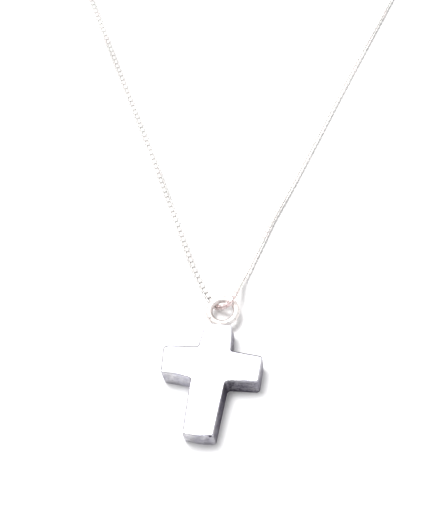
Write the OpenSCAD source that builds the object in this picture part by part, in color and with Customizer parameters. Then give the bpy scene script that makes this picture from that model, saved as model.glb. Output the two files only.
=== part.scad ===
// Hollow cross urn pendant on a fine box chain, lying face up on the surface z = 0.
// The frame's origin is the middle of the crossing on the cross's back face.
// X runs along the side arms, Y from the foot towards the bail, and Z out of the front face.

/* [Cross] */
// Width of the cross over both side arms
cross_w = 18; // [17:0.1:19]
// Distance from the middle of the crossing up to the end of the upper arm
upper_reach = 8.5; // [8:0.1:9]
// Distance from the middle of the crossing down to the end of the foot
lower_reach = 13.8; // [13.5:0.1:15]
// Thickness of the cross, from its back to its front
cross_t = 4.7; // [4.6:0.1:5]
// Width of the upper arm at its end
upper_end_w = 5.1; // [4.8:0.1:5.6]
// Width of the foot at its end
foot_end_w = 5.5; // [4.8:0.1:5.8]
// Height of the side arms at their ends
side_end_w = 5.1; // [4.8:0.1:5.6]
// Width of the upper arm and the lower arm where the arms meet
upright_root_w = 6.3; // [6:0.1:6.8]
// Height of the side arms where the arms meet
beam_root_w = 6.1; // [6:0.1:6.6]
// How far the middle of the foot's end stands out past its corners
foot_crown = 0.2; // [0.05:0.05:0.4]
// Radius of the eight corners at the ends of the arms, seen from the front
corner_r = 0.7; // [0.5:0.05:0.8]
// Radius that polishing has put on the front and back edges
edge_r = 0.35; // [0.2:0.05:0.45]

/* [Urn chamber] */
// Bore of the mouth in the upper arm's end, which takes the bail's stem
mouth_d = 3; // [2.8:0.1:3.2]
// Depth of the mouth's bore
mouth_depth = 4.4; // [4:0.1:5]
// Bore of the chamber below the mouth
chamber_d = 2.6; // [2:0.1:2.7]
// Metal left between the chamber's end and the end of the foot
foot_wall = 1.6; // [1.2:0.1:3]

/* [Bail] */
// Outer diameter of the bail's ring
ring_d = 6.5; // [6.4:0.1:6.6]
// Thickness of the ring's round wire
ring_wire = 1.3; // [1.2:0.05:1.35]
// Distance from the end of the upper arm to the middle of the ring
ring_rise = 3.8; // [3.7:0.05:3.9]
// How far left of the stem the ring is soldered
ring_left = 0.15; // [0:0.05:0.2]
// Diameter of the collar that closes the mouth
collar_d = 3.4; // [3.3:0.1:3.6]
// Thickness of the collar
collar_t = 0.45; // [0.4:0.05:0.5]
// Diameter of the short neck between the collar and the ring
neck_d = 2; // [1.6:0.1:2.4]
// Diameter of the stem over its thread
stem_d = 2.85; // [2.8:0.05:2.9]
// Depth of the grooves of the stem's thread
thread_depth = 0.2; // [0.1:0.05:0.25]
// Distance from one groove to the next
thread_pitch = 0.5; // [0.4:0.1:0.6]
// Number of grooves along the stem
thread_turns = 7; // [5:1:7]

/* [Chain] */
// Width of the box chain, across its square links
chain_w = 1.2; // [1:0.1:1.3]
// Greatest distance from one ring of the chain's solid to the next
ring_step = 9; // [8.5:0.5:15]

/* [Clasp] */
// Outer diameter of the clasp's ring
clasp_d = 5.6; // [5:0.1:6]
// Thickness of the clasp's round wire
clasp_wire = 1.2; // [1:0.1:1.2]
// Outer diameter of the eye on each side of the clasp
eye_d = 2; // [1.8:0.1:2.2]
// Thickness of each eye's wire
eye_wire = 0.5; // [0.4:0.05:0.6]

/* [Hidden] */
$fn = 64;
// Clearance left where one piece is screwed or laid against another
fit_gap = 0.05;
// Height of the stem's axis, halfway through the cross
axis_z = cross_t / 2;
// Length of the stem below its collar, with a plain lead before and after the thread
stem_lead = 0.25;
stem_l = thread_turns * thread_pitch + 2 * stem_lead;
// Radius of the slight bend in each arm's side where the arms meet
bend_r = 1;
// Points on each rounded corner, and steps on each rounded edge
corner_steps = 4;
edge_steps = 3;
// Sides of the chain's solid
tube_sides = 8;
// Middle of the clasp's ring
clasp_at = [-16.5, 199];
// Distance from the middle of the clasp's ring to the middle of each eye
eye_offset = clasp_d / 2 + eye_d / 2 - eye_wire;

// Route of the chain's middle line, from one eye of the clasp round the wearer's side,
// under the ring's rim, up through the ring, over its rim and back to the other eye
ROUTE = [
    [-20.9, 199, 0.6], [-27, 198, 0.6], [-34.5, 195.6, 0.6], [-47, 189.2, 0.6], [-57, 180.2, 0.6],
    [-65.7, 165.6, 0.6], [-68.9, 148, 0.6], [-66.8, 134.5, 0.6], [-61.5, 122, 0.6], [-48.1, 97.5, 0.6],
    [-34.4, 72, 0.6], [-20.3, 46, 0.6], [-12.5, 31, 0.6], [-7.5, 21.6, 0.6], [-5.2, 17.9, 0.6],
    [-3.9, 16.1, 0.6], [-3, 15.1, 0.6], [-2.15, 14.2, 0.75], [-1.4, 13.65, 1.15], [-0.8, 13.45, 1.75],
    [-0.25, 13.3, 2.35], [0.3, 13.25, 2.85], [0.8, 13.4, 3.35], [1.3, 13.85, 3.7], [1.75, 14.6, 3.8],
    [1.95, 15.6, 3.55], [2.1, 17, 2.9], [2.2, 18.7, 1.85], [2.4, 20.3, 1.05], [2.7, 21.8, 0.65],
    [3, 22.8, 0.6], [3.3, 24.2, 0.6], [4.3, 28.2, 0.6], [6.1, 35.4, 0.6], [7.9, 41.2, 0.6],
    [16.3, 70.5, 0.6], [24.9, 100, 0.6], [33, 129, 0.6], [36.2, 147.5, 0.6], [33, 165.9, 0.6],
    [23.9, 181.3, 0.6], [13.2, 190.7, 0.6], [1, 196.2, 0.6], [-6, 198, 0.6], [-12.1, 199, 0.6],
];

// One bar's outline from its left half and foot: each row is x, y, corner radius, anticlockwise
function whole_outline(left, foot) = concat(left, foot, [for (k = [len(left) - 1:-1:0])
    [-left[k][0], left[k][1], left[k][2]]]);

// Upright bar, from the end of the upper arm to the foot, whose end is slightly crowned
function upright_corners() = let(
    root_x = upright_root_w / 2,
    root_y = beam_root_w / 2
) whole_outline([
    [-upper_end_w / 2, upper_reach, corner_r],
    [-root_x, root_y, bend_r],
    [-root_x, -root_y, bend_r],
    [-foot_end_w / 2, foot_crown - lower_reach, corner_r],
], [[0, -lower_reach, foot_end_w]]);

// Cross beam, from the end of one side arm to the other
function beam_corners() = let(
    root_x = upright_root_w / 2,
    root_y = beam_root_w / 2
) whole_outline([
    [-root_x, root_y, bend_r],
    [-cross_w / 2, side_end_w / 2, corner_r],
    [-cross_w / 2, -side_end_w / 2, corner_r],
    [-root_x, -root_y, bend_r],
], []);

function unit(v) = v / norm(v);

// Inward normal of the edge from a to b, on an anticlockwise outline
function inward(a, b) = let(d = unit(b - a)) [-d[1], d[0]];

// The points of one rounded corner after the outline is drawn in by inset
function corner_arc(before, at, after, radius, inset) = let(
    n1 = inward(before, at),
    n2 = inward(at, after),
    tip = at + inset * (n1 + n2) / (1 + n1 * n2),
    to_before = unit(before - at),
    to_after = unit(after - at),
    r = radius - inset,
    half = acos(to_before * to_after) / 2,
    centre = tip + unit(to_before + to_after) * r / sin(half),
    from = tip + to_before * r / tan(half) - centre,
    sweep = 180 - 2 * half
) [for (k = [0:corner_steps - 1]) let(a = sweep * k / (corner_steps - 1))
    centre + [from[0] * cos(a) - from[1] * sin(a), from[0] * sin(a) + from[1] * cos(a)]];

function xy(row) = [row[0], row[1]];

// The outline drawn in by inset, with the same number of points whatever the inset
function outline(rows, inset) = let(n = len(rows)) [
    for (i = [0:n - 1]) let(
        before = xy(rows[(i + n - 1) % n]),
        at = xy(rows[i]),
        after = xy(rows[(i + 1) % n])
    ) each corner_arc(before, at, after, rows[i][2], inset)
];

// Each row is the inset and the height of one outline, from the back face to the front face
function edge_rows() = concat(
    [for (k = [0:edge_steps]) let(a = 90 * k / edge_steps) [edge_r * (1 - sin(a)), edge_r * (1 - cos(a))]],
    [for (k = [edge_steps:-1:0]) let(a = 90 * k / edge_steps)
        [edge_r * (1 - sin(a)), cross_t - edge_r * (1 - cos(a))]]
);

// A closed solid through stacked outlines that all have the same number of points, lowest first
module stacked(outlines) {
    n = len(outlines[0]);
    last = (len(outlines) - 1) * n;
    polyhedron(
        points = [for (o = outlines) each o],
        faces = concat(
            [[for (i = [0:n - 1]) i]],
            [for (j = [0:len(outlines) - 2], i = [0:n - 1]) let(k = (i + 1) % n)
                [j * n + i, (j + 1) * n + i, (j + 1) * n + k, j * n + k]],
            [[for (i = [n - 1:-1:0]) last + i]]
        )
    );
}

module rounded_bar(corners) {
    stacked([for (row = edge_rows()) [for (p = outline(corners, row[0])) [p[0], p[1], row[1]]]]);
}

// Turns a solid made along +Z to run down the cross from the upper arm's end
module down_the_stem() {
    translate([0, upper_reach, axis_z]) rotate([90, 0, 0]) children();
}

// Mouth and chamber as one turned hollow, whose end is the cone and small flat that the drill left
module chamber() {
    chamber_end = upper_reach + lower_reach - foot_wall;
    flat_r = chamber_d / 8;
    cone_l = (chamber_d / 2 - flat_r) * tan(30);
    lead = 0.5;
    down_the_stem() rotate_extrude() polygon([
        [0, -lead],
        [mouth_d / 2, -lead],
        [mouth_d / 2, mouth_depth],
        [chamber_d / 2, mouth_depth],
        [chamber_d / 2, chamber_end - cone_l],
        [flat_r, chamber_end],
        [0, chamber_end],
    ]);
}

module cross_body() {
    color("silver") difference() {
        union() {
            rounded_bar(upright_corners());
            rounded_bar(beam_corners());
        }
        chamber();
    }
}

// The stem's profile, from its top down: a row of grooves between two plain leads
function stem_profile() = let(
    crest = stem_d / 2,
    root = stem_d / 2 - thread_depth,
    top = stem_lead - fit_gap
) concat(
    [[0, -fit_gap - collar_t / 2], [crest, -fit_gap - collar_t / 2], [crest, top]],
    [for (k = [0:thread_turns - 1]) each [
        [root, top + (k + 0.5) * thread_pitch],
        [crest, top + (k + 1) * thread_pitch],
    ]],
    [[root, stem_l], [0, stem_l]]
);

// Ring, neck, collar and threaded stem, soldered into one solid
module bail() {
    collar_top = fit_gap + collar_t;
    color("gainsboro") union() {
        down_the_stem() rotate_extrude() polygon(stem_profile());
        down_the_stem() translate([0, 0, -collar_top]) cylinder(d = collar_d, h = collar_t);
        down_the_stem() translate([0, 0, -(ring_rise - ring_d / 2 + ring_wire / 2)])
            cylinder(d = neck_d, h = ring_rise - ring_d / 2 + ring_wire / 2 - collar_top / 2);
        translate([-ring_left, upper_reach + ring_rise, axis_z])
            rotate_extrude() translate([(ring_d - ring_wire) / 2, 0]) circle(d = ring_wire, $fn = 32);
    }
}

// Direction of the route at one of its points, weighted towards the nearer neighbour
function slope(i) = let(n = len(ROUTE))
    i == 0 ? unit(ROUTE[1] - ROUTE[0]) :
    i == n - 1 ? unit(ROUTE[n - 1] - ROUTE[n - 2]) :
    let(a = ROUTE[i] - ROUTE[i - 1], b = ROUTE[i + 1] - ROUTE[i], la = norm(a), lb = norm(b))
        (a / la * lb + b / lb * la) / (la + lb);

// Point at share t of the way from route point i to the next, on a smooth curve
function along(i, t) = let(h = norm(ROUTE[i + 1] - ROUTE[i]))
    (2 * t^3 - 3 * t^2 + 1) * ROUTE[i]
    + (t^3 - 2 * t^2 + t) * h * slope(i)
    + (3 * t^2 - 2 * t^3) * ROUTE[i + 1]
    + (t^3 - t^2) * h * slope(i + 1);

// Middle points of the chain's solid: each stretch of the route in equal steps of ring_step at most
function tube_path() = concat(
    [for (i = [0:len(ROUTE) - 2]) let(steps = ceil(norm(ROUTE[i + 1] - ROUTE[i]) / ring_step))
        each [for (k = [0:steps - 1]) along(i, k / steps)]],
    [ROUTE[len(ROUTE) - 1]]
);

function path_direction(path, i) = unit(path[min(i + 1, len(path) - 1)] - path[max(i - 1, 0)]);

// One ring of points round the path, with a flat side underneath
function tube_ring(path, i) = let(
    d = path_direction(path, i),
    side = unit(cross([0, 0, 1], d)),
    up = cross(d, side),
    r = chain_w / 2 / cos(180 / tube_sides)
) [for (k = [0:tube_sides - 1]) let(a = 360 * (k + 0.5) / tube_sides)
    path[i] + r * (cos(a) * side + sin(a) * up)];

module chain() {
    path = tube_path();
    color("lightgray") stacked([for (i = [0:len(path) - 1]) tube_ring(path, i)]);
}

module flat_ring(outer_d, wire) {
    rotate_extrude() translate([(outer_d - wire) / 2, 0]) circle(d = wire, $fn = 32);
}

// A plain closed ring with an eye soldered to each side, for the chain's two ends
module clasp() {
    color("silver") translate([clasp_at[0], clasp_at[1], clasp_wire / 2]) union() {
        flat_ring(clasp_d, clasp_wire);
        for (side = [-1, 1]) translate([side * eye_offset, 0, 0]) flat_ring(eye_d, eye_wire);
    }
}

cross_body();
bail();
chain();
clasp();
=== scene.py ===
"""Looks of a silver cross urn pendant on a fine box chain, lying face up on a white surface.

Lengths are in metres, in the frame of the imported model. X runs along the cross's side arms, Y from the foot
towards the bail, and Z out of the front face. The surface that the jewel lies on is z = 0.
"""
import math

import bmesh
import bpy
import numpy as np
from mathutils import Matrix, Vector, noise
from mathutils.geometry import delaunay_2d_cdt


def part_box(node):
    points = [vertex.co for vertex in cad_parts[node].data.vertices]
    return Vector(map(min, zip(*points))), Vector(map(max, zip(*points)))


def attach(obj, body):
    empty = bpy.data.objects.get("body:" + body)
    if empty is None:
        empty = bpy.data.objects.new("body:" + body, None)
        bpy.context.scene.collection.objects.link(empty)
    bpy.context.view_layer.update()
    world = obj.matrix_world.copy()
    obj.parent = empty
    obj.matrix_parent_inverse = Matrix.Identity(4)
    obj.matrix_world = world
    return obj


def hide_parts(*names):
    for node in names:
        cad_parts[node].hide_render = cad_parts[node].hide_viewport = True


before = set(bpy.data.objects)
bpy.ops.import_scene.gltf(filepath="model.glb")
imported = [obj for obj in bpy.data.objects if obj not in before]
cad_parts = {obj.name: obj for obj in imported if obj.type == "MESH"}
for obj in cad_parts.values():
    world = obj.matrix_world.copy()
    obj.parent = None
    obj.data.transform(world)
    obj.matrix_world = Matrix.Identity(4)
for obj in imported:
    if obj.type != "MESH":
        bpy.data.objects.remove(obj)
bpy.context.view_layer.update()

MM = 0.001
UP = Vector((0, 0, 1))

# The cross: its reach and thickness come from the frame, and these are its other sizes
cross_low, cross_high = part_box("cross_body")
HALF_W = cross_high.x
UPPER_REACH = cross_high.y
LOWER_REACH = -cross_low.y
CROSS_T = cross_high.z
AXIS_Z = CROSS_T / 2
UPPER_END_W = 5.1 * MM
FOOT_END_W = 5.5 * MM
SIDE_END_W = 5.1 * MM
UPRIGHT_ROOT_W = 6.3 * MM
BEAM_ROOT_W = 6.1 * MM
FOOT_CROWN = 0.2 * MM
WALL_BULGE = 0.04 * MM
# How far the front face sinks at its rim, and how far in from the rim
FACE_SINK = 0.03 * MM
SINK_REACH = 0.7 * MM
RIM_Z = CROSS_T - FACE_SINK

# How hand finishing has left the corners, anticlockwise, in millimetres
# Each row has the front's move in x, its move in y and its radius, then the same of the back
CORNERS = {
    "upper arm's left": (-0.03, -0.05, 0.58, 0, 0, 0.7),
    "upper left inner": (0.1, 0.5, 0.45, 0, 0, 0.45),
    "left arm's top": (-0.6, 0.5, 0.76, 0, 0, 0.8),
    "left arm's bottom": (-0.03, -0.12, 0.55, -0.05, -0.1, 0.5),
    "lower left inner": (-0.2, 0.02, 0.4, -0.1, 0, 0.45),
    "foot's left": (-0.05, -0.45, 0.35, -0.45, -0.1, 0.4),
    "foot's middle": (0, -0.4, 5.5, 0, -0.2, 5.5),
    "foot's right": (0, -0.15, 0.5, 0.08, -0.25, 0.6),
    "lower right inner": (0, 0.1, 0.75, 0, 0, 0.6),
    "right arm's bottom": (0.13, 0.18, 0.35, 0.1, -0.12, 0.7),
    "right arm's top": (0.17, 0.26, 0.58, 0.1, 0, 0.7),
    "upper right inner": (0.05, 0.28, 0.4, 0, 0, 0.45),
    "upper arm's right": (0, 0, 0.58, 0, 0, 0.7),
}

# Radius of the cross's edges, how much more the front edge has in places, and the upper arm's share of that
EDGE_R = 0.18 * MM
FAR_EDGE_EXTRA = 0.31 * MM
LEFT_EDGE_EXTRA = 0.12 * MM
LEFT_TIP_EXTRA = 0.12 * MM
WHEEL_EXTRA = 0.42 * MM
UPPER_ARM_SHARE = 0.3

# Places on the cross that are worn or marked, or where its painted shade changes, and how far each reaches
WHEEL_AT = Vector((-6.4, -2.6)) * MM
WHEEL_REACH = 3.1 * MM
WHEEL_DEPTH = 1 * MM
LEFT_TIP_AT = Vector((-8.9, 2.7)) * MM
LEFT_TIP_REACH = 1.2 * MM
RIGHT_CORNER_AT = Vector((3, -3)) * MM
RIGHT_CORNER_REACH = 5 * MM
UPPER_ARM_Y = 7 * MM
FOOT_END_Y = -12 * MM
FOOT_WEAR = 0.06 * MM
FOOT_WEAR_REACH = 1.3 * MM
NICK_AT = Vector((2.16, -13.66, 4.12)) * MM
NICK_SIZE = Vector((0.36, 0.22, 0.17)) * MM
NICK_TURN = 0.3
NICK_REACH = 0.4 * MM

# Polishing waves, and patches in the cross's painted shade: how long they are and how deep
WAVE_L = 2.6 * MM
WAVE_DEPTH = 0.016 * MM
RIPPLE_L = 0.9 * MM
RIPPLE_DEPTH = 0.005 * MM
RIPPLE_SHIFT = Vector((7, 0, 0)) * MM
SHADE_PATCH_L = 0.8 * MM

# How dark the cross's sides are painted on the whole, as painted shade and painted reflection of shadowed
# floor, from 0, bright, to 1, darkest
FOOT_END_PAINTED_SHADE = 0.46
LEFT_UNDERSIDE_PAINTED_SHADE = 0.34
RIGHT_UNDERSIDE_PAINTED_SHADE = 0.85
RIGHT_SIDE_PAINTED_SHADE = 0.9
OTHER_SIDE_PAINTED_SHADE = 0.2

# Fineness of the cross's mesh
OUTLINE_STEP = 0.28 * MM
FACE_STEP = 0.45 * MM
ARC_STEPS = 8
EDGE_STEPS = 6
WALL_STEPS = 12

# The hollow in the cross
MOUTH_R = 1.5 * MM
MOUTH_DEPTH = 4.4 * MM
MOUTH_OVERCUT = 0.4 * MM
MOUTH_THREAD_FROM = 0.15 * MM
MOUTH_THREAD_OUT = 0.05 * MM
MOUTH_THREAD_DEPTH = 0.08 * MM
CHAMBER_R = 1.3 * MM
LEDGE_T = 0.02 * MM
DRILL_POINT_L = 0.56 * MM
FOOT_WALL = 1.6 * MM

# The bail
RING_R = 2.6 * MM
RING_WIRE_R = 0.65 * MM
RING_RISE = 3.8 * MM
RING_LEFT = 0.15 * MM
RING_CENTRE = Vector((-RING_LEFT, UPPER_REACH + RING_RISE, AXIS_Z))
RING_UNEVENNESS = 0.03 * MM
RING_PIT_AT = RING_CENTRE + Vector((-1.95, -1.95, 0.5)) * MM
RING_PIT_SIZE = Vector((0.28, 0.2, 0.2)) * MM
RING_FAR_AT = RING_CENTRE + Vector((-0.6, 2.6, 0)) * MM
RING_FAR_REACH = 2 * MM
COLLAR_R = 1.7 * MM
COLLAR_T = 0.45 * MM
COLLAR_BEVEL = 0.09 * MM
FIT_GAP = 0.05 * MM
STEM_R = 1.425 * MM
STEM_L = 4 * MM
STEM_EASE = 0.08 * MM
STEM_CHAMFER = 0.28 * MM
THREAD_PITCH = 0.5 * MM
THREAD_DEPTH = 0.2 * MM
THREAD_FROM = 0.3 * MM
THREAD_LEAD_L = 0.4 * MM
THREAD_TAIL_L = 0.2 * MM
THREAD_END_GAP = 0.11 * MM
THREAD_STEEPNESS = 2.6
# How far the solder has run up from the collar, with its radius there, in millimetres
SOLDER = [(0.02, 1.3), (0.08, 1.12), (0.18, 0.98), (0.32, 0.86), (0.48, 0.74), (0.66, 0.6)]

# The chain's links. Where one is slimmest, its sizes shrink and its slack grows by the shares named SLIM
LINK_PITCH = 0.645 * MM
LINK_W = 1.17 * MM
STRIP_T = 0.27 * MM
STRIP_W = 0.56 * MM
LINK_SLACK = 0.05 * MM
LINK_BOW = 0.012 * MM
LINK_CORNER_R = 0.2 * MM
END_LINK_EXTRA = 0.2 * MM
SLIM_STRIP_T = 0.6
SLIM_STRIP_W = 0.25
SLIM_LINK_W = 0.1
SLIM_SLACK = 2
# The strip's section with its edges eased, in shares of its thickness and its width
STRIP_SECTION = [
    (0.5, 0.32), (0.44, 0.5), (-0.44, 0.5), (-0.5, 0.32),
    (-0.5, -0.32), (-0.44, -0.5), (0.44, -0.5), (0.5, -0.32),
]

# Where the chain bends through the ring and comes down again, where its links are pink, and where they are
# painted brown as painted shade under the ring's wire
BEND_AT = Vector((0.5, 13.9, 3.2)) * MM
BEND_REACH = 8.5 * MM
LANDING_AT = Vector((2.4, 20, 1.2)) * MM
LANDING_REACH = 4 * MM
LANDING_SHARE = 0.45
BLUSH_AT = Vector((0.4, 13.8, 2.9)) * MM
BLUSH_REACH = 3.2 * MM
SHADE_BROWN_AT = Vector((-1.3, 13.8, 1.3)) * MM
SHADE_BROWN_REACH = 1.3 * MM

# The chain's colours, with the left strand painted darker as painted shade and the right one lighter as
# painted light
CREAM = Vector((0.93, 0.87, 0.86))
COOL_GREY = Vector((0.87, 0.89, 0.86))
BLUSH = Vector((0.92, 0.81, 0.81))
SHADE_BROWN = Vector((0.72, 0.58, 0.57))
LEFT_STRAND_PAINTED_SHADE = 0.77
RIGHT_STRAND_PAINTED_LIGHT = 1.05

# The clasp
CLASP_AT = Vector((-16.5, 199, 0.6)) * MM
CLASP_R = 2.2 * MM
CLASP_WIRE_R = 0.6 * MM
CLASP_UNEVENNESS = 0.012 * MM
EYE_OFFSET = 3.3 * MM
EYE_R = 0.75 * MM
EYE_WIRE_R = 0.25 * MM
EYE_REST = 0.14 * MM

# Grain and dullness of the surfaces, and the roughness and darker glancing reflection where painted shade is
# marked
UNEVEN_L = 1.1 * MM
TINT_PATCH_L = 1.6 * MM
SPECK_L = 0.32 * MM
SPECK_SHARE = 0.28
SPECK_TINT = (0.55, 0.53, 0.53)
GRAIN_L = 0.3 * MM
HAIR_L = 0.5 * MM
HAIR_DEPTH = 0.004 * MM
PAINTED_SHADE_ROUGHNESS = 0.55
PAINTED_SHADE_GLANCING_TINT = (0.25, 0.24, 0.27, 1)
SATIN_ROUGHNESS = 0.7

# Route of the chain's middle line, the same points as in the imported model's source
ROUTE = [
    (-0.0209, 0.199, 0.0006), (-0.027, 0.198, 0.0006), (-0.0345, 0.1956, 0.0006),
    (-0.047, 0.1892, 0.0006), (-0.057, 0.1802, 0.0006), (-0.0657, 0.1656, 0.0006),
    (-0.0689, 0.148, 0.0006), (-0.0668, 0.1345, 0.0006), (-0.0615, 0.122, 0.0006),
    (-0.0481, 0.0975, 0.0006), (-0.0344, 0.072, 0.0006), (-0.0203, 0.046, 0.0006),
    (-0.0125, 0.031, 0.0006), (-0.0075, 0.0216, 0.0006), (-0.0052, 0.0179, 0.0006),
    (-0.0039, 0.0161, 0.0006), (-0.003, 0.0151, 0.0006), (-0.00215, 0.0142, 0.00075),
    (-0.0014, 0.01365, 0.00115), (-0.0008, 0.01345, 0.00175), (-0.00025, 0.0133, 0.00235),
    (0.0003, 0.01325, 0.00285), (0.0008, 0.0134, 0.00335), (0.0013, 0.01385, 0.0037),
    (0.00175, 0.0146, 0.0038), (0.00195, 0.0156, 0.00355), (0.0021, 0.017, 0.0029),
    (0.0022, 0.0187, 0.00185), (0.0024, 0.0203, 0.00105), (0.0027, 0.0218, 0.00065),
    (0.003, 0.0228, 0.0006), (0.0033, 0.0242, 0.0006), (0.0043, 0.0282, 0.0006),
    (0.0061, 0.0354, 0.0006), (0.0079, 0.0412, 0.0006), (0.0163, 0.0705, 0.0006),
    (0.0249, 0.1, 0.0006), (0.033, 0.129, 0.0006), (0.0362, 0.1475, 0.0006),
    (0.033, 0.1659, 0.0006), (0.0239, 0.1813, 0.0006), (0.0132, 0.1907, 0.0006),
    (0.001, 0.1962, 0.0006), (-0.006, 0.198, 0.0006), (-0.0121, 0.199, 0.0006),
]


# Plain mathematics

def clamped(value):
    """A value held between 0 and 1."""
    return min(1.0, max(0.0, value))


def falloff(distance, reach):
    """1 at no distance, falling smoothly to 0 at reach."""
    t = clamped(1 - distance / reach)
    return t * t * (3 - 2 * t)


def nearness(at, place, reach):
    """1 at a place, falling smoothly to 0 at reach. A place with no height counts at any height."""
    return falloff((Vector(at[:len(place)]) - place).length, reach)


def flat_direction(angle):
    """The direction at an angle from X towards Y."""
    return Vector((math.cos(angle), math.sin(angle), 0))


# Meshes

def new_piece(name, points, faces):
    """A mesh object from points in metres, with its faces turned outward."""
    mesh = bpy.data.meshes.new(name)
    mesh.from_pydata([tuple(p) for p in points], [], faces)
    work = bmesh.new()
    work.from_mesh(mesh)
    bmesh.ops.recalc_face_normals(work, faces=work.faces)
    work.to_mesh(mesh)
    work.free()
    piece = bpy.data.objects.new(name, mesh)
    bpy.context.scene.collection.objects.link(piece)
    return piece


def combine(piece, tool, operation):
    """Unites a piece with a tool, or cuts the tool out of it, and removes the tool."""
    modifier = piece.modifiers.new("combine", "BOOLEAN")
    modifier.operation = operation
    modifier.solver = "EXACT"
    modifier.object = tool
    shown = piece.evaluated_get(bpy.context.evaluated_depsgraph_get())
    made = bpy.data.meshes.new_from_object(shown)
    made.name = piece.name
    piece.modifiers.clear()
    piece.data = made
    bpy.data.objects.remove(tool)


def smooth(piece, sharp_above=38):
    """Shades a piece smooth, apart from its edges sharper than an angle in degrees."""
    mesh = piece.data
    mesh.polygons.foreach_set("use_smooth", [True] * len(mesh.polygons))
    mesh.set_sharp_from_angle(angle=math.radians(sharp_above))
    mesh.update()


def mark(piece, name, level_of):
    """Gives each vertex of a piece the level that a function works out from its place and normal."""
    mesh = piece.data
    levels = [level_of(v.co, v.normal) for v in mesh.vertices]
    mesh.attributes.new(name, "FLOAT", "POINT").data.foreach_set("value", levels)


def grid_faces(rows, columns):
    """Quads between rings of points: rings that close on themselves, stacked in rows."""
    return [
        (j * columns + i, j * columns + (i + 1) % columns,
         (j + 1) * columns + (i + 1) % columns, (j + 1) * columns + i)
        for j in range(rows - 1)
        for i in range(columns)
    ]


def tube_faces(rings, sides):
    """Quads of a tube that closes on itself: rings of points, the last joined to the first."""
    return [
        (k * sides + m, ((k + 1) % rings) * sides + m,
         ((k + 1) % rings) * sides + (m + 1) % sides, k * sides + (m + 1) % sides)
        for k in range(rings)
        for m in range(sides)
    ]


def wire_ring(name, centre, radius, wire_r, segments=96, sides=24, unevenness=0.0):
    """A closed ring of round wire that lies flat, with a slightly uneven surface."""
    points = []
    for k in range(segments):
        out = flat_direction(2 * math.pi * k / segments)
        middle = centre + out * radius
        for m in range(sides):
            angle = 2 * math.pi * m / sides
            across = out * math.cos(angle) + UP * math.sin(angle)
            swell = unevenness * noise.noise((middle + across * wire_r) / UNEVEN_L)
            points.append(middle + across * (wire_r + swell))
    return new_piece(name, points, tube_faces(segments, sides))


def pit(centre, size, turn=0.0):
    """A small rounded lump to cut a dent with."""
    bpy.ops.mesh.primitive_ico_sphere_add(subdivisions=3, radius=1)
    lump = bpy.context.object
    lump.data.transform(
        Matrix.Translation(centre) @ Matrix.Rotation(turn, 4, "Y") @ Matrix.Diagonal((*size, 1))
    )
    return lump


# The cross's outline

def square_corners():
    """The cross's corners seen from the front, anticlockwise, before any wear."""
    root_x, root_y = UPRIGHT_ROOT_W / 2, BEAM_ROOT_W / 2
    left = [
        (-UPPER_END_W / 2, UPPER_REACH),
        (-root_x, root_y),
        (-HALF_W, SIDE_END_W / 2),
        (-HALF_W, -SIDE_END_W / 2),
        (-root_x, -root_y),
        (-FOOT_END_W / 2, FOOT_CROWN - LOWER_REACH),
    ]
    return left + [(0, -LOWER_REACH)] + [(-x, y) for x, y in reversed(left)]


def worn_corners(front):
    """The corners of the front or the back: x, y and radius of each."""
    first = 0 if front else 3
    return [
        (x + row[first] * MM, y + row[first + 1] * MM, row[first + 2] * MM)
        for (x, y), row in zip(square_corners(), CORNERS.values())
    ]


def side_steps(i):
    """How many pieces the side after the given corner is made of, the same on the front and the back."""
    corners = square_corners()
    return math.ceil(math.dist(corners[i], corners[(i + 1) % len(corners)]) / OUTLINE_STEP)


def corner_arc(before, corner, after):
    """Points round one corner between its neighbours, each with the direction into the metal."""
    at, radius = Vector(corner[:2]), corner[2]
    to_here = (at - Vector(before[:2])).normalized()
    onward = (Vector(after[:2]) - at).normalized()
    turn = -to_here.angle_signed(onward, 0)
    inward = Vector((-to_here.y, to_here.x))
    to_centre = math.copysign(radius, turn)
    centre = at - to_here * (radius * math.tan(abs(turn) / 2)) + inward * to_centre
    arc = []
    for k in range(ARC_STEPS + 1):
        into = inward.copy()
        into.rotate(Matrix.Rotation(turn * k / ARC_STEPS, 2))
        arc.append((centre - into * to_centre, into))
    return arc


def rounded_loop(corners):
    """Points round an outline with rounded corners, each with the direction into the metal."""
    following = corners[1:] + corners[:1]
    arcs = [
        corner_arc(corners[i - 1], corner, following[i]) for i, corner in enumerate(corners)
    ]
    loop = []
    for i, (arc, next_arc) in enumerate(zip(arcs, arcs[1:] + arcs[:1])):
        loop += arc
        start, into = arc[-1]
        end = next_arc[0][0]
        steps = side_steps(i)
        loop += [(start.lerp(end, k / steps), into) for k in range(1, steps)]
    return loop


# The cross's skin

def wheel_wear(at):
    """How much the polishing wheel has worn the left arm's lower front edge, from 1 at its middle to 0."""
    return nearness(at, WHEEL_AT, WHEEL_REACH)


def front_edge_r(at, into):
    """Radius of the front edge, rounder on the far and left sides and where the wheel has worn it.

    into is the direction into the metal. It points down on the far sides and right on the left sides.
    """
    extra = FAR_EDGE_EXTRA * max(0.0, -into.y) + LEFT_EDGE_EXTRA * max(0.0, into.x)
    extra += LEFT_TIP_EXTRA * nearness(at, LEFT_TIP_AT, LEFT_TIP_REACH)
    if at.y > UPPER_ARM_Y:
        extra *= UPPER_ARM_SHARE
    return EDGE_R + extra + WHEEL_EXTRA * wheel_wear(at) * max(0.0, into.y)


def edge_step(radius, k):
    """Inset and rise of a rounded edge at one of its steps, from the face's rim at 0 to the wall."""
    a = math.pi / 2 * k / EDGE_STEPS
    return radius * (1 - math.sin(a)), radius * (1 - math.cos(a))


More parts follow.
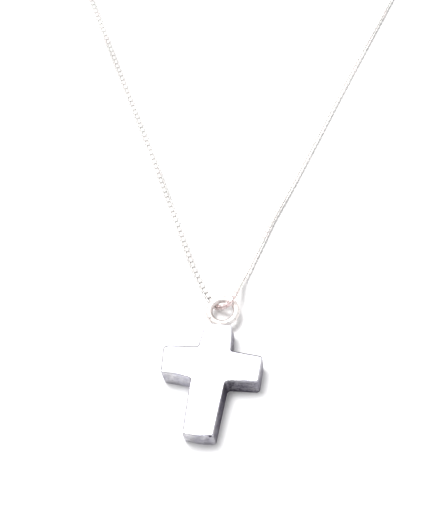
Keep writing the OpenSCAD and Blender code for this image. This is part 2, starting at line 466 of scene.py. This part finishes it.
def side_rows(loop):
    """Inset and height of each point of the cross's sides, in rows from the back's rim to the front's."""
    radii = [front_edge_r(at, into) for at, into in loop]
    rows = [[edge_step(EDGE_R, k)] * len(loop) for k in range(EDGE_STEPS + 1)]
    for k in range(1, WALL_STEPS):
        share = k / WALL_STEPS
        rows.append([(0, EDGE_R + (RIM_Z - r - EDGE_R) * share) for r in radii])
    for k in range(EDGE_STEPS, -1, -1):
        steps = [edge_step(r, k) for r in radii]
        rows.append([(inset, RIM_Z - rise) for inset, rise in steps])
    return rows


def side_points(loop, front_loop, rows):
    """Points of the cross's sides, which lean from the back's outline to the front's and bulge a little."""
    points = []
    for row in rows:
        for (back, into), (front, _), (inset, z) in zip(loop, front_loop, row):
            inset += WALL_BULGE * (2 * z / CROSS_T - 1) ** 2
            at = back.lerp(front, z / CROSS_T) + into * inset
            points.append(Vector((at.x, at.y, z)))
    return points


def is_inside(outline, x, y):
    """Whether a point is inside an outline: an odd number of sides lies to its right."""
    ax, ay = outline[:, 0], outline[:, 1]
    bx, by = np.roll(ax, -1), np.roll(ay, -1)
    spans = (ay > y) != (by > y)
    to_right = x < (bx - ax) * (y - ay) / np.where(by == ay, 1, by - ay) + ax
    return (spans & to_right).sum() % 2 == 1


def face_fill(rim):
    """Points inside a flat face, each x, y and distance from the rim, and the triangles that fill the face.

    The triangles number the rim's points first, and then the points inside.
    """
    outline = np.array([(p.x, p.y) for p in rim]) / MM
    step = FACE_STEP / MM
    clearance = step * 0.6
    low, high = outline.min(0), outline.max(0)
    inner = []
    for x in np.arange(low[0] + step / 2, high[0], step):
        for y in np.arange(low[1] + step / 2, high[1], step):
            from_rim = np.hypot(outline[:, 0] - x, outline[:, 1] - y).min()
            if from_rim > clearance and is_inside(outline, x, y):
                inner.append((x, y, from_rim))
    flat = [Vector(p) for p in outline] + [Vector(p[:2]) for p in inner]
    ring = list(range(len(rim)))
    keep_inside, merge_below = 1, 1e-6
    _, _, faces, origin, _, _ = delaunay_2d_cdt(flat, [], [ring], keep_inside, merge_below)
    faces = [tuple(origin[v][0] for v in face) for face in faces]
    return [(x * MM, y * MM, from_rim * MM) for x, y, from_rim in inner], faces


def wear_foot(p):
    """Rounds off the foot's left corner on the back."""
    corner = Vector((-FOOT_END_W / 2, -LOWER_REACH, 0))
    inward = Vector((0.55, 0.5, 0.67))
    return p + inward * FOOT_WEAR * nearness(p, corner, FOOT_WEAR_REACH)


def cross_shell():
    """The cross's outer skin as one closed mesh."""
    loop, front_loop = [rounded_loop(worn_corners(front)) for front in (False, True)]
    rows = side_rows(loop)
    points = side_points(loop, front_loop, rows)
    count = len(loop)
    faces = grid_faces(len(rows), count)
    front_start = len(points) - count
    front_inner, front_faces = face_fill(points[front_start:])
    back_inner, back_faces = face_fill(points[:count])
    points += [
        Vector((x, y, CROSS_T - FACE_SINK * math.exp(-from_rim / SINK_REACH)))
        for x, y, from_rim in front_inner
    ]
    back_start = len(points) - count
    points += [Vector((x, y, 0)) for x, y, _ in back_inner]
    faces += [tuple(front_start + v for v in face) for face in front_faces]
    faces += [tuple(v if v < count else back_start + v for v in face) for face in back_faces]
    return new_piece("cross_shell", [wear_foot(p) for p in points], faces)


def polish_waves(p):
    """How far hand polishing has moved a point of the cross's surface."""
    wave = noise.noise(p / WAVE_L)
    ripple = noise.noise((p + RIPPLE_SHIFT) / RIPPLE_L)
    return WAVE_DEPTH * wave + RIPPLE_DEPTH * ripple


def roughen(piece):
    """Moves a piece's points along their normals by the polish waves, with the resting face left flat."""
    mesh = piece.data
    moved = []
    for v in mesh.vertices:
        share = min(1.0, v.co.z / EDGE_R)
        moved.append(v.co + v.normal * polish_waves(v.co) * share)
    for v, co in zip(mesh.vertices, moved):
        v.co = co
    mesh.update()


# Solids along the stem

def along_stem(distance, across, up):
    """A point at a distance down the stem's axis from the upper arm's end, which runs towards the foot."""
    return Vector((across, UPPER_REACH - distance, AXIS_Z + up))


def turned(name, profile, groove=None, segments=64):
    """A closed solid turned about the stem's axis, from rows of distance and radius.

    groove(distance, turn) is taken from the radius, where turn runs from 0 to 1 round the axis.
    """
    points = []
    for distance, radius in profile:
        for k in range(segments):
            turn = k / segments
            r = radius - (groove(distance, turn) if groove else 0)
            angle = 2 * math.pi * turn
            points.append(along_stem(distance, r * math.cos(angle), r * math.sin(angle)))
    faces = grid_faces(len(profile), segments)
    faces.append(tuple(range(segments - 1, -1, -1)))
    last = (len(profile) - 1) * segments
    faces.append(tuple(range(last, last + segments)))
    return new_piece(name, points, faces)


def thread_wave(distance, turn):
    """1 at the bottom of a helical groove and 0 on the crest between its turns."""
    phase = (distance / THREAD_PITCH - turn) % 1
    return max(0.0, 1 - abs(phase - 0.5) * THREAD_STEEPNESS)


def hollow():
    """The mouth, its thread and the chamber below it, as one solid to cut away."""
    step = THREAD_PITCH / 8
    steps = int((MOUTH_DEPTH + MOUTH_OVERCUT) / step)
    widest = MOUTH_R + MOUTH_THREAD_OUT
    end = UPPER_REACH + LOWER_REACH - FOOT_WALL
    profile = [(step * k - MOUTH_OVERCUT, widest) for k in range(steps)]
    profile += [
        (MOUTH_DEPTH, widest - MOUTH_THREAD_DEPTH),
        (MOUTH_DEPTH + LEDGE_T, CHAMBER_R),
        (end - DRILL_POINT_L, CHAMBER_R),
        (end, CHAMBER_R / 4),
    ]

    def groove(distance, turn):
        if distance < MOUTH_THREAD_FROM or distance >= MOUTH_DEPTH:
            return 0
        return MOUTH_THREAD_DEPTH * thread_wave(distance, turn)

    return turned("hollow", profile, groove)


def stem():
    """The bail's stem with its helical thread."""
    step = THREAD_PITCH / 10
    steps = int(STEM_L / step)
    profile = [(-COLLAR_T / 2, STEM_R)]
    profile += [(step * k, STEM_R) for k in range(1, steps - 2)]
    profile += [(STEM_L - 2 * step, STEM_R - STEM_EASE), (STEM_L, STEM_R - STEM_CHAMFER)]
    thread_end = STEM_L - THREAD_END_GAP

    def groove(distance, turn):
        lead = clamped((distance - THREAD_FROM) / THREAD_LEAD_L)
        tail = clamped((thread_end - distance) / THREAD_TAIL_L)
        return THREAD_DEPTH * lead * tail * thread_wave(distance, turn)

    return turned("stem", profile, groove)


# The cross's painted shade, from 0, bright, to 1, darkest

def wheel_polish(p):
    """How much the polishing wheel has touched a point: most on the front edge that it wore."""
    return wheel_wear(p) * falloff(CROSS_T - p.z, WHEEL_DEPTH)


def wheel_satin(p, _):
    """How satin the polishing wheel has left the surface."""
    return 0.6 * wheel_polish(p)


def underside_painted_shade(p, patch):
    """Painted shade and painted reflection of shadowed floor on the sides that face the foot: the foot's end,
    and the left and right arms' undersides.
    """
    low_edge = falloff(p.z, 1.2 * MM)
    if p.y < FOOT_END_Y:
        return FOOT_END_PAINTED_SHADE - 0.14 * low_edge + 0.25 * patch
    if p.x < 0:
        left_end = falloff(p.x + HALF_W, 4 * MM)
        return LEFT_UNDERSIDE_PAINTED_SHADE + 0.18 * left_end + 0.03 * low_edge + 0.16 * patch
    inner_corner = nearness(p, RIGHT_CORNER_AT, RIGHT_CORNER_REACH)
    front_edge = falloff(CROSS_T - p.z, 1 * MM)
    right_end = falloff(HALF_W - p.x, 3 * MM)
    lighter = 0.36 * front_edge + 0.12 * right_end
    return RIGHT_UNDERSIDE_PAINTED_SHADE + 0.02 * inner_corner + 0.12 * low_edge + 0.1 * patch - lighter


def right_side_painted_shade(p, patch):
    """Painted shade on the sides that face right: lighter at the arm's end, on the upper arm and at the foot.
    """
    inner_corner = nearness(p, RIGHT_CORNER_AT, RIGHT_CORNER_REACH)
    arm_end = falloff(HALF_W - p.x, 1.5 * MM)
    arm_end_lighter = 0.3 - 0.1 * falloff(p.y + 2.5 * MM, 3 * MM)
    upper_arm = falloff(8 * MM - p.y, 7 * MM)
    foot = falloff(p.y + 13.5 * MM, 5 * MM)
    front_edge = falloff(CROSS_T - p.z, 1.6 * MM)
    lighter = arm_end_lighter * arm_end + 0.28 * upper_arm + 0.15 * foot + 0.2 * front_edge
    return RIGHT_SIDE_PAINTED_SHADE + 0.05 * inner_corner + 0.1 * patch - lighter


def far_edge_painted_shade(p, normal):
    """Painted reflection as a dark line on the front's far edges: most along the side arms' tops, least on
    the upper arm.
    """
    if normal.y > 0.2:
        if p.y > UPPER_ARM_Y:
            return 0.12
        return 0.7 if p.x < -8 * MM else 0.9
    if normal.x < -0.2 and normal.y > -0.35:
        if p.x < -7.5 * MM:
            return 0.85
        return 0.15 if p.y > 4.5 * MM else 0.45
    return 0.0


def far_line(p, normal):
    """The thin painted dark line along the front's far edges, a painted reflection, broader at the left arm's
    tip and by the crossing.
    """
    breadth = 0.35 + 0.3 * nearness(p, LEFT_TIP_AT, LEFT_TIP_REACH)
    breadth += 0.12 * falloff(abs(p.y - 3 * MM), 1 * MM)
    return falloff(abs(normal.z - 0.75), breadth) * far_edge_painted_shade(p, normal)


def painted_shade(p, normal):
    """How dark the cross is painted at a point: painted shade on its sides, a painted dark line along the
    front's far edges, full darkness in the nick, and less where the wheel polished.
    """
    if (p - NICK_AT).length < NICK_REACH:
        return 1.0
    patch = noise.noise(p / SHADE_PATCH_L)
    if normal.y < -0.4:
        level = underside_painted_shade(p, patch)
    elif normal.x > 0.4:
        level = right_side_painted_shade(p, patch)
    else:
        level = OTHER_SIDE_PAINTED_SHADE + 0.05 * patch
    level -= 0.12 * wheel_polish(p)
    on_side = clamped((0.85 - abs(normal.z)) * 2.5)
    return min(1.0, on_side * level + far_line(p, normal))


def make_cross():
    """The cross with its hollow, its nick, the marks of its wear and its painted shade."""
    cross = cross_shell()
    roughen(cross)
    combine(cross, hollow(), "DIFFERENCE")
    combine(cross, pit(NICK_AT, NICK_SIZE, NICK_TURN), "DIFFERENCE")
    smooth(cross)
    # Painted shade and painted reflection, marked on the cross's vertices
    mark(cross, "painted_shade", painted_shade)
    mark(cross, "satin", wheel_satin)
    return cross


# The bail

def collar_and_neck():
    """The collar that closes the mouth, and the solder that runs up from it round the ring's wire."""
    top = -FIT_GAP - COLLAR_T
    bevel, eased = COLLAR_BEVEL, COLLAR_BEVEL * 0.3
    profile = [
        (-FIT_GAP, COLLAR_R - bevel),
        (-FIT_GAP - eased, COLLAR_R - eased),
        (-FIT_GAP - bevel, COLLAR_R),
        (top + bevel, COLLAR_R),
        (top + eased, COLLAR_R - eased),
        (top, COLLAR_R - bevel),
    ]
    profile += [(top - rise * MM, radius * MM) for rise, radius in SOLDER]
    return turned("bail_neck", profile)


def bail_painted_shade(p, normal):
    """How dark the bail is painted: painted shade round its collar where it meets the cross and round the
    ring's hole, and darker on the ring's far side.
    """
    past_centre = p.y - RING_CENTRE.y
    near_side = falloff(past_centre + 2 * MM, 1.5 * MM)
    facing_hole = (RING_CENTRE - p).normalized().dot(normal)
    band = falloff(0.8 - 0.3 * near_side - facing_hole, 0.45) * falloff(past_centre, 2 * MM)
    hole = (0.55 + 0.35 * near_side) * band
    collar = 0.8 * falloff(abs(p.y - UPPER_REACH), 0.9 * MM)
    far_side = 0.35 * nearness(p, RING_FAR_AT, RING_FAR_REACH)
    return min(1.0, collar + far_side + hole)


def make_bail():
    """The ring, neck, collar and stem as one piece, with a small pit in the ring."""
    bail = wire_ring("ring_bail", RING_CENTRE, RING_R, RING_WIRE_R, unevenness=RING_UNEVENNESS)
    combine(bail, collar_and_neck(), "UNION")
    combine(bail, stem(), "UNION")
    combine(bail, pit(RING_PIT_AT, RING_PIT_SIZE), "DIFFERENCE")
    smooth(bail)
    # Painted shade, marked on the bail's vertices
    mark(bail, "painted_shade", bail_painted_shade)
    return bail


# The chain's line

def route_slopes(points):
    """The direction of the curve at each point of the route."""
    steps = [b - a for a, b in zip(points, points[1:])]
    inner = [
        (a.normalized() * b.length + b.normalized() * a.length) / (a.length + b.length)
        for a, b in zip(steps, steps[1:])
    ]
    return [steps[0].normalized(), *inner, steps[-1].normalized()]


def route_curve(steps=40):
    """Closely spaced points on the smooth curve through the route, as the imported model's source has it."""
    points = [Vector(p) for p in ROUTE]
    slopes = route_slopes(points)
    line = []
    for a, b, slope_a, slope_b in zip(points, points[1:], slopes, slopes[1:]):
        h = (b - a).length
        for k in range(steps):
            t = k / steps
            line.append(
                a * (2 * t**3 - 3 * t**2 + 1)
                + slope_a * (h * (t**3 - 2 * t**2 + t))
                + b * (3 * t**2 - 2 * t**3)
                + slope_b * (h * (t**3 - t**2))
            )
    line.append(points[-1])
    return np.array([tuple(p) for p in line])


def spaced(line, places):
    """Points on a line of points, at the given distances from its start."""
    lengths = np.concatenate(([0], np.cumsum(np.linalg.norm(np.diff(line, axis=0), axis=1))))
    return np.stack([np.interp(places, lengths, line[:, k]) for k in range(3)], axis=1)


def chain_joints():
    """Points where each link hangs in the next, from one eye of the clasp to the other.

    The links are an odd number, so that the first and the last stand the same way in their eyes.
    """
    inner = Vector((EYE_OFFSET + EYE_R - EYE_WIRE_R - EYE_REST, 0, 0))
    line = np.vstack([tuple(CLASP_AT - inner), route_curve(), tuple(CLASP_AT + inner)])
    total = np.linalg.norm(np.diff(line, axis=0), axis=1).sum()
    end_extra = END_LINK_EXTRA + EYE_REST
    count = int((total - 2 * end_extra) / LINK_PITCH)
    count -= 1 - count % 2
    pitch = (total - 2 * end_extra) / count
    places = end_extra + pitch * np.arange(count + 1)
    places[0], places[-1] = 0, total
    return [Vector(p) for p in spaced(line, places)]


def chain_roll(share):
    """How far the chain is turned about its own line, in radians, at a share of the way along it."""
    slow = 0.2 * math.sin(share * 47)
    quicker = 0.12 * math.sin(share * 101 + 1.3)
    return slow + quicker


def bend_room(at):
    """How slim a link is made, from 0 to 1: most where the chain bends through the ring."""
    landing = LANDING_SHARE * nearness(at, LANDING_AT, LANDING_REACH)
    return max(nearness(at, BEND_AT, BEND_REACH), landing)


def rise_off_floor(height, roll):
    """How far a link at a height is lifted so that the chain, turned by roll, stays above the surface."""
    need = (LINK_W / 2 + LINK_BOW) * math.cos(roll) + STRIP_W / 2 * abs(math.sin(roll))
    return max(0.0, need - height)


# The chain's links

def link_path(half_l, half_w, r):
    """Points round a rounded square with slightly bowed sides, each with the direction outward."""
    path = []
    for corner, (sx, sy) in enumerate([(1, 1), (-1, 1), (-1, -1), (1, -1)]):
        middle = Vector((sx * (half_l - r), sy * (half_w - r), 0))
        for k in range(3):
            out = flat_direction(math.pi / 2 * (corner + k / 2))
            path.append((middle + out * r, out))
        out = flat_direction(math.pi / 2 * (corner + 1))
        half = half_w if corner % 2 == 0 else half_l
        path.append((out * (half + LINK_BOW), out))
    return path


def link_mesh(joint_gap, slim):
    """Points and faces of one square link of bent strip. Its hole faces Z and X runs along the chain.

    joint_gap is the distance between its two joints. slim, from 0 to 1, makes room for a bend.
    """
    strip_t = STRIP_T * (1 - SLIM_STRIP_T * slim)
    strip_w = STRIP_W * (1 - SLIM_STRIP_W * slim)
    half_l = (joint_gap + strip_t + LINK_SLACK * (1 + SLIM_SLACK * slim)) / 2
    half_w = (LINK_W * (1 - SLIM_LINK_W * slim) - strip_t) / 2
    path = link_path(half_l, half_w, LINK_CORNER_R - strip_t / 2)
    points = [
        at + out * (share_t * strip_t) + UP * (share_w * strip_w)
        for at, out in path
        for share_t, share_w in STRIP_SECTION
    ]
    return np.array([tuple(p) for p in points]), tube_faces(len(path), len(STRIP_SECTION))


def link_axes(onward, roll):
    """The directions of a link's own X, Y and Z when it runs onward, turned by roll about its length."""
    side = UP.cross(onward).normalized()
    over = onward.cross(side)
    y_axis = side * math.cos(roll) + over * math.sin(roll)
    return np.array([tuple(onward), tuple(y_axis), tuple(onward.cross(y_axis))])


def link_tint(i, at):
    """Colour of one link: cream or cool grey along the strands, painted darker on the left strand and lighter
    on the right, pink where it passes the ring, and brown painted shade where it passes under the ring's
    wire.
    """
    drift = 0.5 + 0.5 * noise.noise(Vector((i * 0.23, 0, 0)))
    shade = 1 + 0.12 * noise.noise(Vector((i * 0.61, 5, 0)))
    plain = CREAM.lerp(COOL_GREY, drift) * shade
    # Painted shade on the left strand and painted light on the right one
    plain *= LEFT_STRAND_PAINTED_SHADE if at.x < 0 else RIGHT_STRAND_PAINTED_LIGHT
    blushed = plain.lerp(BLUSH, nearness(at, BLUSH_AT, BLUSH_REACH))
    # Brown painted shade where the link passes under the ring's wire
    return (*blushed.lerp(SHADE_BROWN, nearness(at, SHADE_BROWN_AT, SHADE_BROWN_REACH)), 1)


def make_chain():
    """All links as one mesh, each with its own tint."""
    joints = chain_joints()
    count = len(joints) - 1
    points, faces, tints = [], [], []
    for i, (a, b) in enumerate(zip(joints, joints[1:])):
        middle = (a + b) / 2
        slim = bend_room(middle)
        roll = chain_roll(i / count) * (1 - slim)
        middle.z += rise_off_floor(middle.z, roll)
        roll += math.pi / 2 if i % 2 == 0 else 0
        link, link_faces = link_mesh((b - a).length, slim)
        first = i * len(link)
        points.append(link @ link_axes((b - a).normalized(), roll) + np.array(middle))
        faces += [tuple(first + v for v in face) for face in link_faces]
        tints += [link_tint(i, middle)] * len(link)
    mesh = bpy.data.meshes.new("box_chain")
    mesh.from_pydata(np.concatenate(points).tolist(), [], faces)
    mesh.validate()
    tint = mesh.attributes.new("tint", "FLOAT_COLOR", "POINT")
    tint.data.foreach_set("color", np.array(tints, dtype=np.float32).ravel())
    chain = bpy.data.objects.new("box_chain", mesh)
    bpy.context.scene.collection.objects.link(chain)
    smooth(chain, sharp_above=50)
    return chain


# The clasp

def make_clasp():
    """A closed ring with an eye on each side."""
    clasp = wire_ring("ring_clasp", CLASP_AT, CLASP_R, CLASP_WIRE_R, unevenness=CLASP_UNEVENNESS)
    for side in (-1, 1):
        centre = CLASP_AT + Vector((side * EYE_OFFSET, 0, 0))
        combine(clasp, wire_ring("eye", centre, EYE_R, EYE_WIRE_R, segments=48, sides=14), "UNION")
    smooth(clasp)
    return clasp


# Material nodes

def node_maker(tree):
    """A function that adds a node, sets its plain inputs and links the rest."""

    def add(kind, inputs=None, **settings):
        node = tree.nodes.new(kind)
        for key, value in settings.items():
            setattr(node, key, value)
        for key, value in (inputs or {}).items():
            if isinstance(value, bpy.types.NodeSocket):
                tree.links.new(value, node.inputs[key])
            else:
                node.inputs[key].default_value = value
        return node

    return add


def new_material(name):
    """An empty material, and the function that adds nodes to it."""
    material = bpy.data.materials.new(name)
    material.use_nodes = True
    material.node_tree.nodes.clear()
    return material, node_maker(material.node_tree)


def surface(add, inputs):
    """The material's shader, with the given inputs."""
    shader = add("ShaderNodeBsdfPrincipled", inputs)
    add("ShaderNodeOutputMaterial", {"Surface": shader.outputs["BSDF"]})


def ramp(add, factor, stops):
    """A colour ramp through (place, colour) stops."""
    node = add("ShaderNodeValToRGB", {"Fac": factor})
    elements = node.color_ramp.elements
    while len(elements) < len(stops):
        elements.new(0.5)
    for element, (place, colour) in zip(elements, stops):
        element.position = place
        element.color = (*colour, 1)
    return node.outputs["Color"]


def marked_level(add, name):
    """The level that is marked on the piece's vertices under a name."""
    return add("ShaderNodeAttribute", attribute_name=name).outputs["Fac"]


def noise_field(add, place, length, detail, roughness=0.5):
    """Noise of a length, most of it between 0.3 and 0.7."""
    inputs = {"Vector": place, "Scale": 1 / length, "Detail": detail, "Roughness": roughness}
    return add("ShaderNodeTexNoise", inputs).outputs["Fac"]


def spread(add, field, low, high):
    """Noise spread from low to high."""
    inputs = {"Value": field, "From Min": 0.3, "From Max": 0.7, "To Min": low, "To Max": high}
    return add("ShaderNodeMapRange", inputs).outputs["Result"]


def mix_values(add, factor, first, second):
    """A value between two values."""
    return add("ShaderNodeMix", {"Factor": factor, 2: first, 3: second}).outputs[0]


def mix_colours(add, factor, first, second, blend="MIX"):
    """A colour between two colours."""
    inputs = {"Factor": factor, 6: first, 7: second}
    return add("ShaderNodeMix", inputs, data_type="RGBA", blend_type=blend).outputs[2]


# Materials

def with_specks(add, place, colour):
    """The colour with small dark specks on it."""
    dots = noise_field(add, place, SPECK_L, detail=1.0)
    specks = ramp(add, dots, [(SPECK_SHARE, SPECK_TINT), (SPECK_SHARE + 0.1, (1, 1, 1))])
    return mix_colours(add, 1.0, colour, specks, "MULTIPLY")


def grainy_painted_shade(add, place):
    """The painted shade that is marked on the piece, made uneven by a fine grain."""
    grain = spread(add, noise_field(add, place, GRAIN_L, detail=2.0), 0.78, 1.22)
    inputs = {0: marked_level(add, "painted_shade"), 1: grain}
    return add("ShaderNodeMath", inputs, operation="MULTIPLY", use_clamp=True).outputs["Value"]


def hairlines(add, place):
    """The surface's normal, bent by hairline scratches that run mostly one way."""
    inputs = {"Vector": place, "Rotation": (0.1, 0.2, 0.5), "Scale": (1, 9, 2)}
    stretched = add("ShaderNodeMapping", inputs).outputs["Vector"]
    hairs = noise_field(add, stretched, HAIR_L, detail=4.0)
    inputs = {"Strength": 1.0, "Distance": HAIR_DEPTH, "Height": hairs}
    return add("ShaderNodeBump", inputs).outputs["Normal"]


def silver(name, bright, dull, roughness, specked=False, dark=None):
    """Polished silver with patches of a duller tint and hairline scratches.

    roughness is the least and the most. dark is the colour of the painted shade, for a piece that has it
    marked.
    """
    material, add = new_material(name)
    place = add("ShaderNodeTexCoord").outputs["Object"]
    patches = noise_field(add, place, TINT_PATCH_L, detail=3.0, roughness=0.55)
    colour = ramp(add, patches, [(0.36, dull), (0.6, bright)])
    least, most = roughness
    rough = spread(add, patches, most, least)
    inputs = {"Metallic": 1.0, "Normal": hairlines(add, place)}
    if specked:
        colour = with_specks(add, place, colour)
    if dark:
        # Painted shade and painted reflection: the marked level darkens the colour and the glancing
        # reflection, and roughens the surface
        level = grainy_painted_shade(add, place)
        colour = mix_colours(add, level, colour, (*dark, 1))
        rough = mix_values(add, level, rough, PAINTED_SHADE_ROUGHNESS)
        rough = mix_values(add, marked_level(add, "satin"), rough, SATIN_ROUGHNESS)
        inputs["Specular Tint"] = mix_colours(add, level, (1, 1, 1, 1), PAINTED_SHADE_GLANCING_TINT)
    surface(add, {**inputs, "Base Color": colour, "Roughness": rough})
    return material


def cross_silver():
    """Bright silver, cool and nearly black where painted shade is marked."""
    bright, dull, dark = (0.92, 0.91, 0.93), (0.8, 0.79, 0.87), (0.095, 0.086, 0.114)
    return silver("cross_silver", bright, dull, roughness=(0.1, 0.24), dark=dark)


def bail_silver():
    """Warm satin silver with dark specks, greyer where painted shade is marked."""
    bright, dull, dark = (0.93, 0.9, 0.88), (0.86, 0.81, 0.78), (0.46, 0.41, 0.39)
    return silver("bail_silver", bright, dull, roughness=(0.6, 0.7), specked=True, dark=dark)


def clasp_silver():
    """Bright silver with no marks."""
    return silver("clasp_silver", (0.95, 0.94, 0.92), (0.88, 0.86, 0.85), roughness=(0.14, 0.26))


def chain_silver():
    """Satin silver whose tint is that of each link."""
    material, add = new_material("chain_silver")
    tint = add("ShaderNodeAttribute", attribute_name="tint").outputs["Color"]
    surface(add, {"Base Color": tint, "Metallic": 0.88, "Roughness": 0.65})
    return material


def white_card():
    """Matt white card."""
    material, add = new_material("white_card")
    surface(add, {"Base Color": (0.92, 0.92, 0.92, 1), "Roughness": 0.9, "Specular IOR Level": 0.1})
    return material


def dress(piece, material, body, node):
    """Gives a piece its material, and says what it rides on and stands for."""
    piece.data.materials.clear()
    piece.data.materials.append(material)
    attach(piece, body)
    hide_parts(node)


# Camera, light and floor

def make_camera():
    """A camera at the photo's viewing angle. Its numbers come from the cross's corners in the photo."""
    azimuth, elevation, roll = math.radians(20.92), math.radians(57.55), math.radians(-13.0)
    looks_at = Vector((-4.67, 25.68, 0)) * MM
    distance = 235.75 * MM
    back = Vector((
        math.sin(azimuth) * math.cos(elevation),
        -math.cos(azimuth) * math.cos(elevation),
        math.sin(elevation),
    ))
    level = UP.cross(back).normalized()
    upright = back.cross(level)
    right = level * math.cos(roll) + upright * math.sin(roll)
    data = bpy.data.cameras.new("camera")
    data.sensor_width = 36
    data.lens = 83.87
    data.clip_start = 10 * MM
    camera = bpy.data.objects.new("camera", data)
    bpy.context.scene.collection.objects.link(camera)
    turn = Matrix((right, back.cross(right), back)).transposed().to_4x4()
    camera.matrix_world = Matrix.Translation(looks_at + back * distance) @ turn
    bpy.context.scene.camera = camera


def softbox(name, towards, distance, size, radiance):
    """A round lamp that faces the pendant from a direction, with its brightness given as radiance."""
    data = bpy.data.lights.new(name, "AREA")
    data.shape = "DISK"
    data.size = size
    area = math.pi * (size / 2) ** 2
    data.energy = radiance * math.pi * area
    lamp = bpy.data.objects.new(name, data)
    bpy.context.scene.collection.objects.link(lamp)
    aim = Vector((0, 20, 0)) * MM
    direction = Vector(towards).normalized()
    lamp.location = aim + direction * distance
    lamp.rotation_mode = "QUATERNION"
    lamp.rotation_quaternion = direction.to_track_quat("Z", "Y")
    lamp.visible_camera = False


def make_world():
    """A pale room, brighter overhead and greyer at the horizon."""
    world = bpy.data.worlds.new("room")
    bpy.context.scene.world = world
    world.use_nodes = True
    tree = world.node_tree
    tree.nodes.clear()
    add = node_maker(tree)
    direction = add("ShaderNodeTexCoord").outputs["Generated"]
    height = add("ShaderNodeSeparateXYZ", {"Vector": direction}).outputs["Z"]
    horizon, overhead = (0.55, 0.55, 0.56), (0.66, 0.66, 0.67)
    sky = ramp(add, height, [(0.0, horizon), (0.5, overhead)])
    background = add("ShaderNodeBackground", {"Color": sky, "Strength": 1.0})
    add("ShaderNodeOutputWorld", {"Surface": background.outputs["Background"]})


def make_floor():
    """A plain white floor, a hair below the surface z = 0, so that no flat face lies in it."""
    bpy.ops.mesh.primitive_plane_add(size=4, location=(0, 0, -0.02 * MM))
    floor = bpy.context.object
    floor.name = "floor"
    floor.data.materials.append(white_card())


make_camera()
make_world()
make_floor()
softbox("key", towards=(-0.235, 0.17, 0.957), distance=2.0, size=0.85, radiance=18)
softbox("overhead", towards=(-0.19, 0.5, 0.84), distance=0.8, size=0.62, radiance=1.5)
bpy.context.scene.view_settings.view_transform = "Standard"

dress(make_cross(), cross_silver(), "cross", "cross_body")
dress(make_bail(), bail_silver(), "necklace", "bail")
dress(make_chain(), chain_silver(), "necklace", "chain")
dress(make_clasp(), clasp_silver(), "necklace", "clasp")
